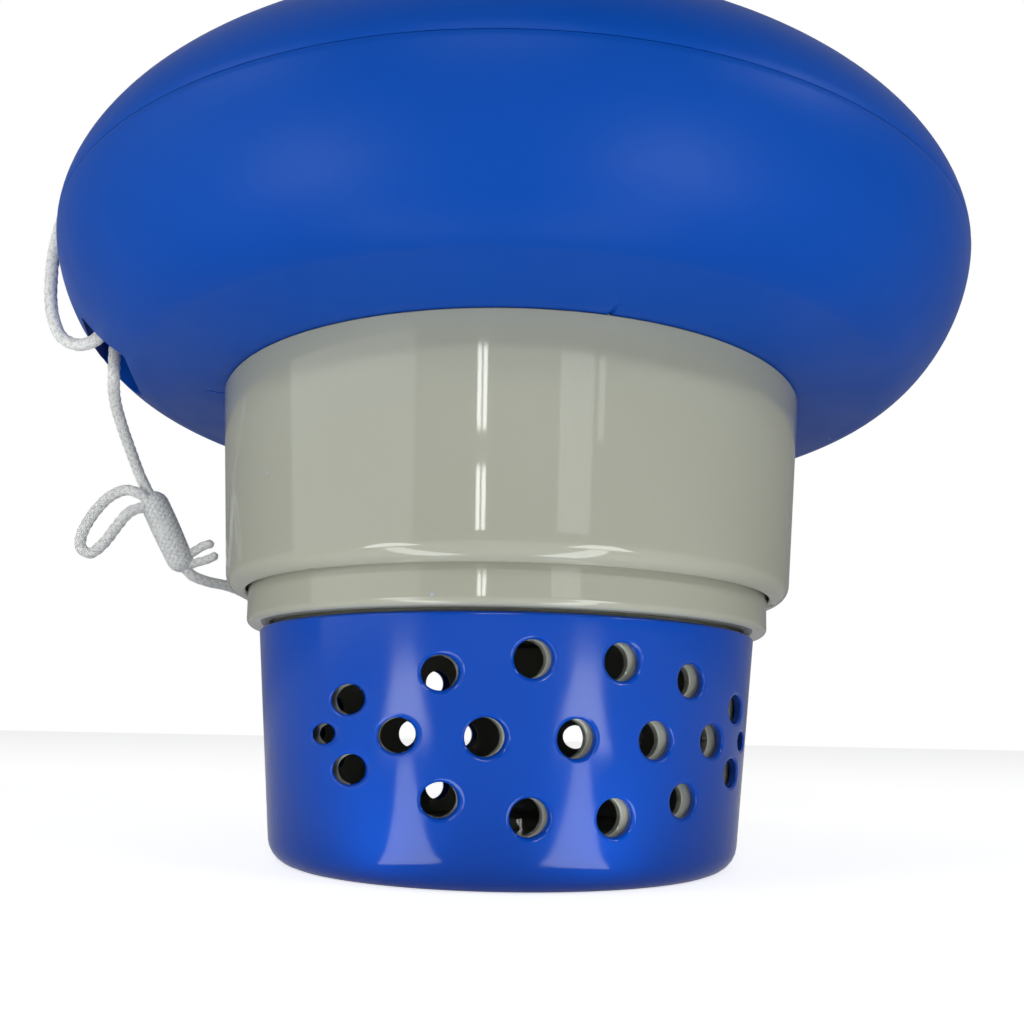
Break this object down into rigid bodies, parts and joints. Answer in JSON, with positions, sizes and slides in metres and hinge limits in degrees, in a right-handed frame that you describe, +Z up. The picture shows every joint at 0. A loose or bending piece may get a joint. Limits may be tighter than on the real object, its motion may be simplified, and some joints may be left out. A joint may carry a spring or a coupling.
{
  "type": "floating chlorine dispenser",
  "caption": "Hollow float ring with a collar, a telescoping tablet basket inside a turning vent cup, a twist lid and a cord tether.",
  "frame": {"origin": "centre of the vent cup's flat foot, on the float ring's axis", "axes": "+Z up along the float ring's axis from the foot to the lid; -Y faces the front vent window; the tether slot is near -X"},
  "size_m": [0.1809, 0.178, 0.14],
  "materials": {
    "float_blue": "satin moulded",
    "cup_blue": "glossy moulded",
    "housing_grey": "glossy moulded",
    "washer_white": "smooth",
    "seal_rubber": "matt",
    "tether_braid": "braided",
    "tie_black": "satin"
  },
  "bodies": {
    "basket": {"basket": "housing_grey", "friction_ring": "seal_rubber", "pivot_rivet": "housing_grey", "pivot_washer": "washer_white", "tether_coil": "tether_braid", "coil_tie": "tie_black", "tether_knot": "tether_braid"},
    "vent": {"vent_cup": "cup_blue"},
    "float": {"float_upper_shell": "float_blue", "float_lower_shell": "float_blue", "collar": "housing_grey", "neck_ring": "housing_grey", "tether_cord": "tether_braid", "tether_sleeve": "tether_braid", "tether_loop": "tether_braid", "tether_tails": "tether_braid"},
    "seal": {"lid_gasket": "seal_rubber"},
    "lid": {"lid_cap": "housing_grey"}
  },
  "joints": [
    {"name": "vent_turn", "type": "hinge", "parent": "basket", "child": "vent", "pos_m": [0, 0, 0.002], "axis": [0, 0, 1], "range_deg": [0, 8.7]},
    {"name": "telescope", "type": "slide", "parent": "basket", "child": "float", "axis": [0, 0, 1], "range_m": [0, 0.046]},
    {"name": "lid_lift", "type": "slide", "parent": "float", "child": "seal", "axis": [0, 0, 1], "range_m": [0, 0.06]},
    {"name": "lid_turn", "type": "hinge", "parent": "seal", "child": "lid", "pos_m": [0, 0, 0.132], "axis": [0, 0, 1], "range_deg": [0, 30]}
  ]
}
